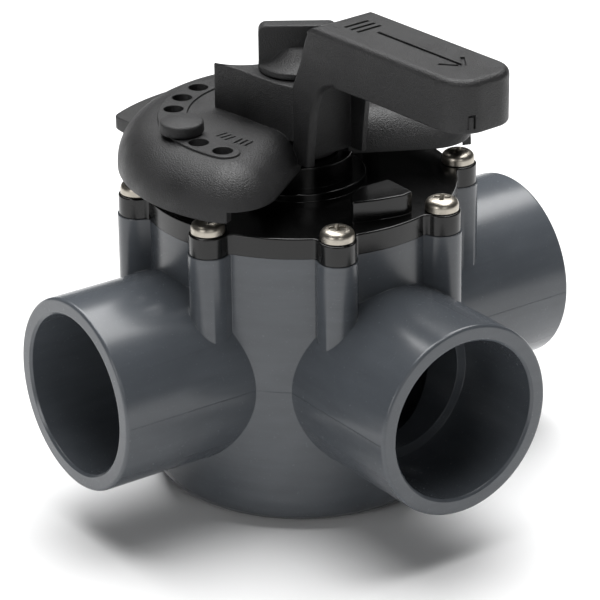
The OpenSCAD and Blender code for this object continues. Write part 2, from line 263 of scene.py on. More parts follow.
def lathe(profile, steps=96):
    """A profile of (radius, height) points turned round Z, from axis to axis or closed on itself."""
    shape = bmesh.new()
    on_axis = profile[0][0] == 0
    columns = []
    for r, z in profile:
        if r == 0:
            columns.append([shape.verts.new((0, 0, z))] * steps)
        else:
            turns = [2 * pi * i / steps for i in range(steps)]
            columns.append([shape.verts.new((r * cos(t), r * sin(t), z)) for t in turns])
    pairs = list(zip(columns, columns[1:]))
    if not on_axis:
        pairs.append((columns[-1], columns[0]))
    for low, high in pairs:
        for i in range(steps):
            j = (i + 1) % steps
            corners = []
            for vertex in (low[i], low[j], high[j], high[i]):
                if vertex not in corners:
                    corners.append(vertex)
            shape.faces.new(corners)
    return solid(shape)


def rod(radius, low, high, x=0, y=0, steps=48):
    return moved(lathe([(0, low), (radius, low), (radius, high), (0, high)], steps), x=x, y=y)


def eased_rod(radius, low, high, ease, steps=128):
    """A rod with a rounded top edge."""
    return lathe(
        [(0, low), (radius, low)] + arc(radius - ease, high - ease, ease, 0, 90, 4) + [(0, high)], steps
    )


def hull(points):
    """The smallest convex solid round some points."""
    shape = bmesh.new()
    for point in points:
        shape.verts.new(point)
    result = bmesh.ops.convex_hull(shape, input=shape.verts)
    spare = [v for v in result["geom_interior"] + result["geom_unused"] if isinstance(v, bmesh.types.BMVert)]
    bmesh.ops.delete(shape, geom=list(set(spare)), context="VERTS")
    return solid(shape)


def moved(obj, x=0, y=0, z=0, turn=0, axis="Z"):
    """obj turned about an axis through the origin, and then moved."""
    obj.data.transform(Matrix.Translation((x, y, z)) @ Matrix.Rotation(turn, 4, axis))
    return obj


def arc(centre_r, centre_z, radius, start, end, steps=8, height=None):
    """Points on an arc, or on an ellipse where height is given; angles are in degrees."""
    height = radius if height is None else height
    points = []
    for i in range(steps + 1):
        t = radians(start + (end - start) * i / steps)
        points.append((centre_r + radius * cos(t), centre_z + height * sin(t)))
    return points


def smooth_line(points, steps=5):
    """A smooth curve through points, by Catmull and Rom's rule."""
    line = [Vector(p) for p in points]
    ends = [2 * line[0] - line[1]] + line + [2 * line[-1] - line[-2]]
    curve = []
    for a, b, c, d in zip(ends, ends[1:], ends[2:], ends[3:]):
        for i in range(steps):
            t = i / steps
            p = 2 * b + (c - a) * t + (2 * a - 5 * b + 4 * c - d) * t**2 + (3 * b - a - 3 * c + d) * t**3
            curve.append(tuple(p / 2))
    return curve + [tuple(line[-1])]


def combined(base, tools, operation):
    """base joined with, cut by or kept inside each tool; the tools are used up."""
    for tool in tools:
        step = base.modifiers.new("boolean", "BOOLEAN")
        step.object = tool
        step.operation = operation
        step.solver = "MANIFOLD"
    base.data = evaluated_mesh(base)
    base.modifiers.clear()
    for tool in tools:
        bpy.data.objects.remove(tool)
    if not base.data.polygons:
        raise RuntimeError(f"nothing is left of a solid after {operation}")
    return base


def join(base, *tools):
    return combined(base, tools, "UNION")


def cut(base, *tools):
    return combined(base, tools, "DIFFERENCE")


def keep_inside(base, *tools):
    return combined(base, tools, "INTERSECT")


def evaluated_mesh(obj):
    bpy.context.view_layer.update()
    depsgraph = bpy.context.evaluated_depsgraph_get()
    return bpy.data.meshes.new_from_object(obj.evaluated_get(depsgraph))


def rounded(obj, width, steps=3, sharper_than=32, chosen=None):
    """Rounds the sharp edges of a clean solid, or only those that chosen(middle, direction) accepts."""
    shape = bmesh.new()
    shape.from_mesh(obj.data)
    bmesh.ops.remove_doubles(shape, verts=shape.verts, dist=0.05)
    sharp = []
    for edge in shape.edges:
        if len(edge.link_faces) != 2 or edge.calc_face_angle(0) < radians(sharper_than):
            continue
        middle = (edge.verts[0].co + edge.verts[1].co) / 2
        direction = (edge.verts[1].co - edge.verts[0].co).normalized()
        if chosen is None or chosen(middle, direction):
            sharp.append(edge)
    bmesh.ops.bevel(
        shape, geom=sharp, offset=width, offset_type="OFFSET", segments=steps, profile=0.5,
        affect="EDGES", clamp_overlap=False,
    )
    shape.to_mesh(obj.data)
    shape.free()
    return obj


def make_piece(obj, name, body, material, stands_for=()):
    """Scales a finished solid to metres, gives it its finish and hangs it on its body."""
    obj.name = name
    obj.data.name = name
    obj.data.transform(Matrix.Scale(MM, 4))
    obj.data.materials.clear()
    obj.data.materials.append(material)
    for face in obj.data.polygons:
        face.use_smooth = True
    obj.data.set_sharp_from_angle(angle=SHARP_ANGLE)
    even = obj.modifiers.new("even shading", "WEIGHTED_NORMAL")
    even.keep_sharp = True
    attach(obj, body)
    if stands_for:
        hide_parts(*stands_for)
    return obj


# ---- finishes --------------------------------------------------------------------------------------


def linear(hex_colour):
    """An sRGB hex colour as a linear RGBA value."""
    levels = [int(hex_colour[i : i + 2], 16) / 255 for i in (1, 3, 5)]
    return [c / 12.92 if c <= 0.04045 else ((c + 0.055) / 1.055) ** 2.4 for c in levels] + [1]


def add(tree, kind, inputs=None, **settings):
    """Adds a shader node with its settings, and links or sets its inputs."""
    node = tree.nodes.new("ShaderNode" + kind)
    for name, value in settings.items():
        setattr(node, name, value)
    for socket, value in (inputs or {}).items():
        if isinstance(value, bpy.types.NodeSocket):
            tree.links.new(value, node.inputs[socket])
        else:
            node.inputs[socket].default_value = value
    return node


def per_metre(millimetre_size):
    """Pattern scale that repeats at a size given in millimetres."""
    return 1 / (millimetre_size * MM)


def new_material(name):
    """A named material with an empty tree and its object coordinates."""
    material = bpy.data.materials.new(name)
    material.use_nodes = True
    tree = material.node_tree
    tree.nodes.clear()
    place = add(tree, "TexCoord").outputs["Object"]
    return material, tree, place


def spread(value, low, high, start=0.3, end=0.7):
    """Inputs that spread a value found between start and end over low to high."""
    return {"Value": value, "From Min": start, "From Max": end, "To Min": low, "To Max": high}


def grey_pvc(colours):
    """Rigid PVC, injection moulded: semi-gloss, with faint orange peel, flow marks and light scuffs."""
    material, tree, place = new_material("moulded_grey_pvc")
    flow = add(tree, "TexNoise", {"Vector": place, "Scale": per_metre(28), "Detail": 3, "Distortion": 0.8})
    streaks = add(tree, "Mapping", {"Vector": place, "Scale": (1, 1, 6)})
    streak = add(tree, "TexNoise", {"Vector": streaks.outputs["Vector"], "Scale": per_metre(22), "Detail": 5})
    blend = add(tree, "Math", {0: flow.outputs["Fac"], 1: streak.outputs["Fac"]}, operation="MULTIPLY")
    amount = add(tree, "MapRange", spread(blend.outputs["Value"], 0, 1, 0.15, 0.4))
    base = add(
        tree, "Mix",
        {
            "Factor": amount.outputs["Result"], "A": linear(colours.grey_pvc),
            "B": linear(colours.grey_pvc_streak)
        },
        data_type="RGBA",
    )
    # scuffs are about 0.3 mm wide on the real one and are drawn 1 mm wide so that they show
    scuff = add(tree, "TexNoise", {"Vector": place, "Scale": per_metre(1), "Detail": 2, "Distortion": 2})
    gloss = add(tree, "MapRange", spread(scuff.outputs["Fac"], 0.22, 0.28, 0.3, 0.75))
    peel = add(tree, "TexNoise", {"Vector": place, "Scale": per_metre(7), "Detail": 0})
    corner = add(tree, "Bevel", {"Radius": 0.5 * MM}, samples=6)
    bump = add(
        tree, "Bump",
        {
            "Height": peel.outputs["Fac"], "Strength": 0.12, "Distance": 0.2 * MM,
            "Normal": corner.outputs["Normal"]
        },
    )
    shader = add(tree, "BsdfPrincipled", {
        "Base Color": base.outputs["Result"], "Roughness": gloss.outputs["Result"],
        "Normal": bump.outputs["Normal"], "IOR": 1.53,
    })
    add(tree, "OutputMaterial", {"Surface": shader.outputs["BSDF"]})
    return material


def gloss_abs(colours):
    """Black ABS from a polished mould: deep gloss with hairline scratches and a little dust."""
    material, tree, place = new_material("polished_black_abs")
    dust = add(tree, "TexNoise", {"Vector": place, "Scale": per_metre(0.9), "Detail": 2})
    speck = add(tree, "MapRange", spread(dust.outputs["Fac"], 0, 0.05, 0.7, 0.78))
    base = add(
        tree, "Mix",
        {"Factor": speck.outputs["Result"], "A": linear(colours.gloss_abs), "B": linear("#B8B8B4")},
        data_type="RGBA",
    )
    # hairlines finer than 0.1 mm on the real one are drawn 0.5 mm apart so that they show
    lines = add(tree, "Mapping", {"Vector": place, "Scale": (1, 0.05, 1), "Rotation": (0, 0, 0.7)})
    hair = add(tree, "TexNoise", {"Vector": lines.outputs["Vector"], "Scale": per_metre(0.5), "Detail": 3})
    gloss = add(tree, "MapRange", spread(hair.outputs["Fac"], 0.16, 0.26)).outputs["Result"]
    sink = add(tree, "TexNoise", {"Vector": place, "Scale": per_metre(14), "Detail": 1})
    corner = add(tree, "Bevel", {"Radius": 0.4 * MM}, samples=6)
    bump = add(
        tree, "Bump",
        {
            "Height": sink.outputs["Fac"], "Strength": 0.12, "Distance": 0.25 * MM,
            "Normal": corner.outputs["Normal"]
        },
    )
    shader = add(tree, "BsdfPrincipled", {
        "Base Color": base.outputs["Result"], "Roughness": gloss, "Normal": bump.outputs["Normal"],
        "IOR": 1.45,
    })
    add(tree, "OutputMaterial", {"Surface": shader.outputs["BSDF"]})
    return material


def grained_abs(colours):
    """Black ABS from a spark eroded mould: a dry grey sheen with a fine grain, rubbed smooth in places."""
    material, tree, place = new_material("grained_black_abs")
    cloud = add(tree, "TexNoise", {"Vector": place, "Scale": per_metre(16), "Detail": 4})
    shade = add(tree, "MapRange", spread(cloud.outputs["Fac"], 0, 1)).outputs["Result"]
    base = add(
        tree, "Mix",
        {"Factor": shade, "A": linear(colours.grained_abs), "B": linear("#1D1D1E")},
        data_type="RGBA",
    )
    # the grain is about 0.2 mm on the real one and is drawn 0.55 mm so that it shows
    grain = add(tree, "TexNoise", {"Vector": place, "Scale": per_metre(0.55), "Detail": 2, "Roughness": 0.7})
    # patches rubbed by use are glossier than the rest
    worn = add(tree, "MapRange", spread(cloud.outputs["Fac"], 0.36, 0.6)).outputs["Result"]
    gloss = add(
        tree, "Math",
        {0: worn, 1: add(tree, "MapRange", spread(grain.outputs["Fac"], -0.08, 0.08)).outputs["Result"]},
        operation="ADD"
    )
    corner = add(tree, "Bevel", {"Radius": 0.6 * MM}, samples=6)
    bump = add(
        tree, "Bump",
        {
            "Height": grain.outputs["Fac"], "Strength": 1.0, "Distance": 0.3 * MM,
            "Normal": corner.outputs["Normal"]
        },
    )
    shader = add(tree, "BsdfPrincipled", {
        "Base Color": base.outputs["Result"], "Roughness": gloss.outputs["Value"],
        "Normal": bump.outputs["Normal"], "IOR": 1.49,
    })
    add(tree, "OutputMaterial", {"Surface": shader.outputs["BSDF"]})
    return material


def stainless_steel(colours):
    """Stainless steel, cold headed and tumbled: bright and slightly warm, with small dents."""
    material, tree, place = new_material("tumbled_stainless_steel")
    cloud = add(tree, "TexNoise", {"Vector": place, "Scale": per_metre(1.5), "Detail": 4})
    gloss = add(tree, "MapRange", spread(cloud.outputs["Fac"], 0.28, 0.42)).outputs["Result"]
    dents = add(tree, "TexNoise", {"Vector": place, "Scale": per_metre(2.2), "Detail": 3})
    bump = add(tree, "Bump", {"Height": dents.outputs["Fac"], "Strength": 0.2, "Distance": 0.15 * MM})
    shader = add(tree, "BsdfPrincipled", {
        "Base Color": linear(colours.stainless), "Metallic": 1.0, "Roughness": gloss,
        "Normal": bump.outputs["Normal"],
    })
    add(tree, "OutputMaterial", {"Surface": shader.outputs["BSDF"]})
    return material


def turned_brass(colours):
    """Free cutting brass, turned: yellow metal with fine rings left by the tool."""
    material, tree, place = new_material("turned_brass")
    # a wave repeats every 0.314 of its unit: rings 1.3 mm apart, because the real ones are too fine to show
    rings = add(
        tree, "TexWave", {"Vector": place, "Scale": per_metre(4), "Distortion": 0.4}, bands_direction="Z"
    )
    gloss = add(tree, "MapRange", spread(rings.outputs["Fac"], 0.2, 0.34)).outputs["Result"]
    bump = add(tree, "Bump", {"Height": rings.outputs["Fac"], "Strength": 0.15, "Distance": 0.05 * MM})
    shader = add(tree, "BsdfPrincipled", {
        "Base Color": linear(colours.brass), "Metallic": 1.0, "Roughness": gloss,
        "Normal": bump.outputs["Normal"],
    })
    add(tree, "OutputMaterial", {"Surface": shader.outputs["BSDF"]})
    return material


def moulded_nylon(colours):
    """Glass filled nylon, injection moulded: satin black with a faint fibre cloud."""
    material, tree, place = new_material("moulded_black_nylon")
    fibre = add(tree, "TexNoise", {"Vector": place, "Scale": per_metre(1.2), "Detail": 5, "Distortion": 1.5})
    base = add(
        tree, "Mix",
        {
            "Factor": add(tree, "MapRange", spread(fibre.outputs["Fac"], 0, 1)).outputs["Result"],
            "A": linear(colours.nylon), "B": linear("#252527")
        },
        data_type="RGBA",
    )
    gloss = add(tree, "MapRange", spread(fibre.outputs["Fac"], 0.36, 0.46)).outputs["Result"]
    bump = add(tree, "Bump", {"Height": fibre.outputs["Fac"], "Strength": 0.12, "Distance": 0.08 * MM})
    shader = add(tree, "BsdfPrincipled", {
        "Base Color": base.outputs["Result"], "Roughness": gloss, "Normal": bump.outputs["Normal"],
        "IOR": 1.53,
    })
    add(tree, "OutputMaterial", {"Surface": shader.outputs["BSDF"]})
    return material


def nitrile_rubber(colours):
    """Nitrile rubber, compression moulded: dull black with a soft bloom."""
    material, tree, place = new_material("moulded_nitrile_rubber")
    bloom = add(tree, "TexNoise", {"Vector": place, "Scale": per_metre(3), "Detail": 4})
    base = add(
        tree, "Mix",
        {
            "Factor": add(tree, "MapRange", spread(bloom.outputs["Fac"], 0, 1)).outputs["Result"],
            "A": linear(colours.rubber), "B": linear("#202020")
        },
        data_type="RGBA",
    )
    gloss = add(tree, "MapRange", spread(bloom.outputs["Fac"], 0.6, 0.75)).outputs["Result"]
    bump = add(tree, "Bump", {"Height": bloom.outputs["Fac"], "Strength": 0.15, "Distance": 0.05 * MM})
    shader = add(tree, "BsdfPrincipled", {
        "Base Color": base.outputs["Result"], "Roughness": gloss, "Normal": bump.outputs["Normal"],
        "IOR": 1.52,
    })
    add(tree, "OutputMaterial", {"Surface": shader.outputs["BSDF"]})
    return material


def white_acetal(colours):
    """Acetal, injection moulded: waxy white with a soft even gloss."""
    material, tree, place = new_material("moulded_white_acetal")
    cloud = add(tree, "TexNoise", {"Vector": place, "Scale": per_metre(6), "Detail": 3})
    base = add(
        tree, "Mix",
        {
            "Factor": add(tree, "MapRange", spread(cloud.outputs["Fac"], 0, 1)).outputs["Result"],
            "A": linear(colours.acetal), "B": linear("#DDDACE")
        },
        data_type="RGBA",
    )
    gloss = add(tree, "MapRange", spread(cloud.outputs["Fac"], 0.32, 0.42)).outputs["Result"]
    bump = add(tree, "Bump", {"Height": cloud.outputs["Fac"], "Strength": 0.1, "Distance": 0.05 * MM})
    shader = add(tree, "BsdfPrincipled", {
        "Base Color": base.outputs["Result"], "Roughness": gloss, "Normal": bump.outputs["Normal"],
        "IOR": 1.48,
    })
    add(tree, "OutputMaterial", {"Surface": shader.outputs["BSDF"]})
    return material


def sweep_paper(colours):
    """Matt white background paper: even and dull, with a grain too fine to notice."""
    material, tree, place = new_material("matt_white_paper")
    fibre = add(tree, "TexNoise", {"Vector": place, "Scale": per_metre(2), "Detail": 2})
    bump = add(tree, "Bump", {"Height": fibre.outputs["Fac"], "Strength": 0.02, "Distance": 0.05 * MM})
    shader = add(
        tree, "BsdfPrincipled",
        {"Base Color": linear(colours.paper), "Roughness": 0.9, "Normal": bump.outputs["Normal"]}
    )
    add(tree, "OutputMaterial", {"Surface": shader.outputs["BSDF"]})
    return material


def material(make):
    """The one material that a finish function makes, made when it is first asked for."""
    made = bpy.context.scene.get("valve_finishes", {})
    if make.__name__ in made:
        return bpy.data.materials[made[make.__name__]]
    result = make(bpy.context.scene.valve_colours)
    bpy.context.scene["valve_finishes"] = {**dict(made), make.__name__: result.name}
    return result


# ---- body ------------------------------------------------------------------------------------------


def port_height():
    """Height of the socket centreline in millimetres."""
    return mount("branch_socket")["pos_m"][2] / MM


def port_reach():
    """Distance from the stem axis to each port face in millimetres."""
    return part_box("valve_body")[1].x / MM


def port(profile, turn, steps=128):
    """A profile along a port's own axis, laid along that port."""
    shape = moved(lathe(profile, steps), turn=pi / 2, axis="Y")
    return moved(shape, z=port_height(), turn=turn)


def chamber_skin(s, seam):
    wall = arc(s.chamber_radius - s.foot_radius, s.foot_radius, s.foot_radius, -90, 0, 12)
    return lathe([(0, 0)] + wall + [(s.chamber_radius, seam), (0, seam)], 192)


def chamber_cavity(s, seam):
    ease = 7
    past = seam + 2
    corner = arc(s.cavity_radius - ease, s.floor_thickness + ease, ease, -90, 0, 8)
    return lathe([(0, s.floor_thickness)] + corner + [(s.cavity_radius, past), (0, past)], 160)


def screw_boss(s, seam, turn):
    bar = box((s.chamber_radius - 12, -s.boss_radius, s.boss_low), (s.screw_circle, s.boss_radius, seam))
    post = rod(s.boss_radius, s.boss_low, seam, x=s.screw_circle, steps=64)
    return moved(join(bar, post), turn=turn)


def valve_body(s):
    reach = port_reach()
    seam = top_of("valve_body")
    socket = mount("branch_socket")["dims"]["r_mm"]
    rim = s.port_radius - s.port_edge
    outside = [(0, PORT_ROOT), (s.port_radius, PORT_ROOT)]
    outside += arc(rim, reach - s.port_edge, s.port_edge, 0, 90, 4) + [(0, reach)]
    shoulder = reach - s.socket_depth
    past = reach + 0.2
    inside = [
        (0, 0), (s.way_radius, 0), (s.way_radius, shoulder), (socket - 0.4, shoulder),
        (socket, shoulder + 3), (socket, reach - 0.9), (socket + 1.1, past), (0, past),
    ]
    shape = join(
        chamber_skin(s, seam),
        *[port(outside, a) for a in PORT_ANGLES],
        *[screw_boss(s, seam, a) for a in SCREW_ANGLES],
    )
    return cut(shape, chamber_cavity(s, seam), *[port(inside, a) for a in PORT_ANGLES])


def parting_line(s):
    """The hair of flash where the mould halves met, round the chamber and along both sides of the ports."""
    high = port_height()
    half, proud = 0.22, 0.07
    gap = 0.02
    start = sqrt(s.chamber_radius**2 - s.port_radius**2) + 0.5
    root, skin = s.chamber_radius - 0.5, s.chamber_radius - gap
    crest = s.chamber_radius + proud
    ring = lathe(
        [(root, high - half), (skin, high - half), (crest, high), (skin, high + half), (root, high + half)],
        192
    )
    inner = s.port_radius - 0.2
    core = [(0, PORT_ROOT), (inner, PORT_ROOT), (inner, 90), (0, 90)]
    shape = cut(ring, *[port(core, a) for a in PORT_ANGLES])
    lines = []
    for a in PORT_ANGLES:
        for side in (-1, 1):
            edge = side * s.port_radius
            outline = [(edge - side * 0.4, high - half), (edge, high - half), (edge + side * proud, high),
                       (edge, high + half), (edge - side * 0.4, high + half)]
            lines.append(moved(side_prism(outline, start, port_reach() - s.port_edge), turn=a))
    return join(shape, *lines)


# ---- cover -----------------------------------------------------------------------------------------


def cover_outline(s, circle, inset=0):
    """The rim circle with a round lug at each screw, blended by small fillets."""
    rim = s.rim_radius - inset
    lug = s.lug_radius - inset
    fillet = s.lug_fillet + inset
    # the centre of a fillet stands clear of both the rim and the lug by its radius
    near = rim + fillet
    far = lug + fillet
    bend = (circle**2 + near**2 - far**2) / (2 * circle * near)
    swing = acos(bend)
    points = []
    for a in SCREW_ANGLES:
        post = Vector((circle * cos(a), circle * sin(a)))
        for side in (-1, 1):
            hub = Vector((near * cos(a + side * swing), near * sin(a + side * swing)))
            to_axis = -hub.normalized()
            to_post = (post - hub).normalized()
            run = [hub + fillet * to_axis.lerp(to_post, i / 4).normalized() for i in range(5)]
            if side < 0:
                points += run
                first = to_post
            else:
                last = to_post
                steps = 20
                turn_from, turn_to = atan2(-first.y, -first.x), atan2(-last.y, -last.x)
                while turn_to < turn_from:
                    turn_to += 2 * pi
                for i in range(1, steps):
                    t = turn_from + (turn_to - turn_from) * i / steps
                    points.append(post + lug * Vector((cos(t), sin(t))))
                points += run[::-1]
        # along the rim to the next lug
        begin, stop = a + swing, a + EIGHTH - swing
        for i in range(1, 10):
            t = begin + (stop - begin) * i / 10
            points.append(Vector((rim * cos(t), rim * sin(t))))
    return [tuple(p) for p in points]


def travel_stop(s, top):
    """The block that the stop pins run against."""
    outline = [
        (13.5, -51.9), (13.5, -37.2), (0.8, -37.4), (-6.5, -41.5), (-10.4, -47.8), (-1, -50.9), (8.8, -52.8)
    ]
    block = prism(outline, top - 1, top + s.stop_height)
    return rounded(block, s.edge, chosen=lambda middle, direction: middle.z > top)


def cover(s):
    body = bpy.context.scene.valve_body_sizes
    circle = body.screw_circle / MM
    seam = top_of("valve_body")
    top = seam + s.rim_height
    collar_top = top_of("lid")
    cavity = body.cavity_radius / MM
    levels = [(0, seam + 0.05)] + [(s.edge - r, z) for r, z in arc(0, top - s.edge, s.edge, 0, 90, 4)]
    plate = loft([[(x, y, z) for x, y in cover_outline(s, circle, inset)] for inset, z in levels])
    spigot_bore, spigot_radius, spigot_low = 45, cavity - 0.25, seam - 9
    into_plate = seam + 1
    spigot = lathe([
        (spigot_bore, spigot_low), (spigot_radius, spigot_low), (spigot_radius, into_plate),
        (spigot_bore, into_plate),
    ], 128)
    hub = rod(18, seam - 12, seam + 2, steps=64)
    half_web = 1.5
    webs = [
        moved(box((14, -half_web, seam - 6), (48, half_web, into_plate)), turn=i * EIGHTH)
        for i in range(8)
    ]
    step = eased_rod(s.step_radius, top - 1, top + s.step_height, s.edge)
    collar = eased_rod(s.collar_radius, top + 2, collar_top, s.edge)
    shape = join(plate, spigot, hub, *webs, step, collar, travel_stop(s, top))
    groove_floor, groove_low, groove_high = cavity - 3.2, seam - 6.6, seam - 2.9
    outside = cavity + 2
    groove = lathe([
        (groove_floor, groove_low), (outside, groove_low), (outside, groove_high),
        (groove_floor, groove_high),
    ], 128)
    seat = rod(s.bore_radius, collar_top - 3, collar_top + 2, steps=96)
    stem_bore = rod(10, seam - 20, seam + 40, steps=64)
    return cut(shape, stem_bore, seat, groove)


# ---- screws ----------------------------------------------------------------------------------------


def cross_outline(reach, half):
    """A plus sign with four arms."""
    arm = [(reach, -half), (reach, half), (half, half)]
    points = []
    for i in range(4):
        c, n = [(1, 0), (0, 1), (-1, 0), (0, -1)][i]
        points += [(x * c - y * n, x * n + y * c) for x, y in arm]
    return points


def cover_screw(s):
    """One pan head screw, standing on z = 0."""
    rise = s.head_height - s.rim_height
    # fuller than an ellipse, as a pan head is: nearly flat on top and quick to turn down at the rim
    fullness = 0.72
    dome = [
        (s.head_radius * x**fullness, s.rim_height + rise * z**fullness) for x, z in arc(0, 0, 1, 0, 84, 14)
    ]
    tip = [
        (0, -s.shank_length), (1.4, -s.shank_length), (s.shank_radius, 3 - s.shank_length),
        (s.shank_radius, 0)
    ]
    shape = lathe(tip + [(s.head_radius - 0.3, 0), (s.head_radius, 0.35)] + dome + [(0, s.head_height)], 64)
    levels = [(1, 0.6), (0.88, -1.2), (0.5, -s.recess_depth)]
    rings = []
    for scale, drop in levels:
        outline = cross_outline(s.recess_reach * scale, s.recess_width / 2 * max(scale, 0.6))
        rings.append([(x, y, s.head_height + drop) for x, y in outline])
    shape = cut(shape, loft(rings))
    return rounded(
        shape, 0.16, steps=2, sharper_than=40, chosen=lambda middle, direction: middle.z > s.rim_height
    )


# ---- handle ----------------------------------------------------------------------------------------


def mirror_x(outline):
    return [(-x, y) for x, y in reversed(outline)]


def hood(s, inset, low):
    """The round shoulder over the index plate, without the quarter under the lever."""
    top = s.plate_top
    shoulder = arc(
        s.hood_radius - s.hood_round, top - SHOULDER_RISE, s.hood_round - inset, 0, 90, 14,
        SHOULDER_RISE - inset
    )
    shape = lathe([(0, low), (s.hood_radius - inset, low)] + shoulder + [(0, top - inset)], 192)
    wide = 200
    left, right = ((wide * cos(a), wide * sin(a)) for a in (pi + s.hood_end_turn, -s.hood_end_turn))
    return cut(shape, prism([(0, 0), left, (-wide, -wide), (wide, -wide), right], low - 5, top + 5))


def hood_end(s, side, inset, low):
    """The rounded end that closes the hood on one side of the lever."""
    top = s.plate_top
    points = []
    for out, radius in ((s.hood_radius - 17.6, 17.6), (15, 10.4)):
        flat = max(radius - s.hood_round, 0)
        profile = [(radius - inset, low)]
        profile += arc(flat, top - SHOULDER_RISE, radius - flat - inset, 0, 90, 14, SHOULDER_RISE - inset)
        for r, z in profile:
            for i in range(80):
                t = 2 * pi * i / 80
                points.append((out + r * cos(t), r * sin(t), z))
    return moved(hull(points), turn=-s.hood_end_turn if side > 0 else pi + s.hood_end_turn)


def tail_flange(s):
    """The short flange behind the hood, opposite the lever."""
    radius, half, corner = 77.5, 34, 4
    reach = sqrt((radius - corner) ** 2 - (half - corner) ** 2)
    lean = degrees(atan2(reach, half - corner))
    right = arc(half - corner, reach, corner, 0, lean, 5)
    back = arc(0, 0, radius, lean, 180 - lean, 14)[1:-1]
    outline = [(half, 50)] + right + back + mirror_x(right) + [(-half, 50)]
    return rounded(
        prism(outline, s.hood_low + 0.2, s.hood_low + 5.8), 0.8, chosen=lambda middle,
        direction: middle.y > 62
    )


def index_strip(s):
    """The raised strip that carries the index holes, with round ends."""
    middle, half = 46.6, 5.4
    start = -16.5
    end = arc(middle * cos(radians(start)), middle * sin(radians(start)), half, start - 180, start, 12)[1:-1]
    outline = arc(0, 0, middle + half, start, 82, 40) + arc(0, 0, middle - half, 82, start, 36) + end
    strips = [
        prism(side, s.plate_top - 1, s.plate_top + s.strip_height)
        for side in (outline, mirror_x(outline))
    ]
    return [
        rounded(strip, 0.35, steps=2, chosen=lambda middle, direction: middle.z > s.plate_top)
        for strip in strips
    ]


def hub_block(s):
    """The block round the stem, drawn out into two horns behind the knob."""
    side = [(14.4, -14.5), (16.2, -6.7), (17, 2.4), (17.4, 12.5), (19.4, 26.3)]
    shape = prism(side + mirror_x(side), s.plate_top - s.skin, s.hub_top)
    shape = cut(shape, rod(20.3, s.plate_top - 10, s.hub_top + 5, y=32, steps=128))
    return rounded(shape, s.edge, chosen=lambda middle, direction: middle.z > s.plate_top and middle.y > -14)


def lever(s):
    """The lever and the riser that carries it, as one hollow moulding with round tip corners."""
    low = s.lever_top - s.lever_depth
    rear = smooth_line([
        (-13.2, 132), (-13.2, 150), (-13.4, s.hub_top - 1), (-15.8, 166.5), (-18.6, 173), (-20.4, 179.4),
        (-21.9, 183), (-24.6, 186), (-29.5, s.lever_top),
    ])
    arch = smooth_line([
        (-43, low), (-37.5, low - 0.4), (-32.8, low - 2), (-29, low - 5), (-26.6, low - 9.5),
        (-25.2, low - 14), (-24.4, 148), (-23.4, 139.5), (-22.8, 132),
    ])
    profile = rear + [(-s.lever_tip - 5, s.lever_top), (-s.lever_tip - 5, low)] + arch
    half = s.lever_half_width
    ease = s.lever_edge
    levels = [(0, 120)] + [(ease - r, z) for r, z in arc(0, s.lever_top - ease, ease, 0, 90, 7)]
    rings = []
    for inset, z in levels:
        corner = s.tip_corner - inset
        right = arc(half - inset - corner, -s.lever_tip + inset + corner, corner, -90, 0, 12)
        plan = mirror_x(right) + right + [(half - inset, 0), (inset - half, 0)]
        rings.append([(x, y, z) for x, y in plan])
    shape = keep_inside(side_prism(profile, -half - 5, half + 5), loft(rings))

    def riser_edge(middle, direction):
        on_side = abs(abs(middle.x) - half) < 0.05 and abs(direction.z) > 0.1
        return on_side and middle.y > -50 and middle.z < s.lever_top - ease - 0.5

    def lower_edge(middle, direction):
        return middle.z < low + 0.5 and middle.y < -43

    shape = rounded(shape, 1.6, steps=4, sharper_than=50, chosen=riser_edge)
    return rounded(shape, 0.8, steps=2, sharper_than=50, chosen=lower_edge)


def lever_hollow(s):
    """What is cored out of the lever and riser: one long pocket with cross ribs, and the riser's back."""
    low = s.lever_top - s.lever_depth
    inside = s.lever_half_width - s.skin
    tip = -s.lever_tip + s.skin
    corner = s.tip_corner - s.skin
    right = arc(inside - corner, tip + corner, corner, -90, 0, 6)
    pocket = prism(mirror_x(right) + right + [(inside, -30), (-inside, -30)], low - 3, s.lever_top - s.skin)
    ribs = [box((-20, y, low + 2), (20, y + 2.2, s.lever_top + 5)) for y in (-90, -72, -54)]
    back = [(-16.5, 120), (-16.5, s.hub_top), (-21.8, 172.3), (-23.6, 179.4), (-26.5, s.lever_top - s.skin),
            (-45, s.lever_top - s.skin), (-45, 120)]
    riser = cut(side_prism(back, -inside, inside), rod(COLUMN_RADIUS, 115, 190, steps=64))
    return [cut(pocket, *ribs), riser]


def tip_mark(s):
    """A small sunk arch low on the lever's tip."""
    low = s.lever_top - s.lever_depth + 2
    front = -s.lever_tip
    arch = box((-9.6, front - 2, low), (-6.6, front + 1.7, low + 5))
    return cut(arch, box((-8.8, front - 3, low - 1), (-7.4, front + 2, low + 4.2)))


def lever_marks(s):
    """Sunk marks on the lever: an arrow towards the tip and three short bars at its root."""
    low, high = s.lever_top - 0.8, s.lever_top + 2
    shaft = box((-0.75, -90, low), (0.75, -45, high))
    barbs = [
        moved(box((-0.75, 0, low), (0.75, 9, high)), turn=side * radians(38), y=-90.6)
        for side in (-1, 1)
    ]
    bars = [box((-5.5, y, low), (5.5, y + 1.4, high)) for y in (-41, -37.6, -34.2)]
    return [join(shaft, *barbs), *bars]


def plate_marks(s):
    """Sunk ticks on the index plate beside the holes that set the usual positions."""
    ticks = []
    for a in (180, 195):
        for shift in (-2.4, 0, 2.4):
            for side in (1, -1):
                bar = box((31.5, shift - 0.45, s.plate_top - 0.6), (36.5, shift + 0.45, s.plate_top + 2))
                turn = radians(a if side > 0 else 180 - a)
                ticks.append(moved(bar, turn=turn))
    return ticks


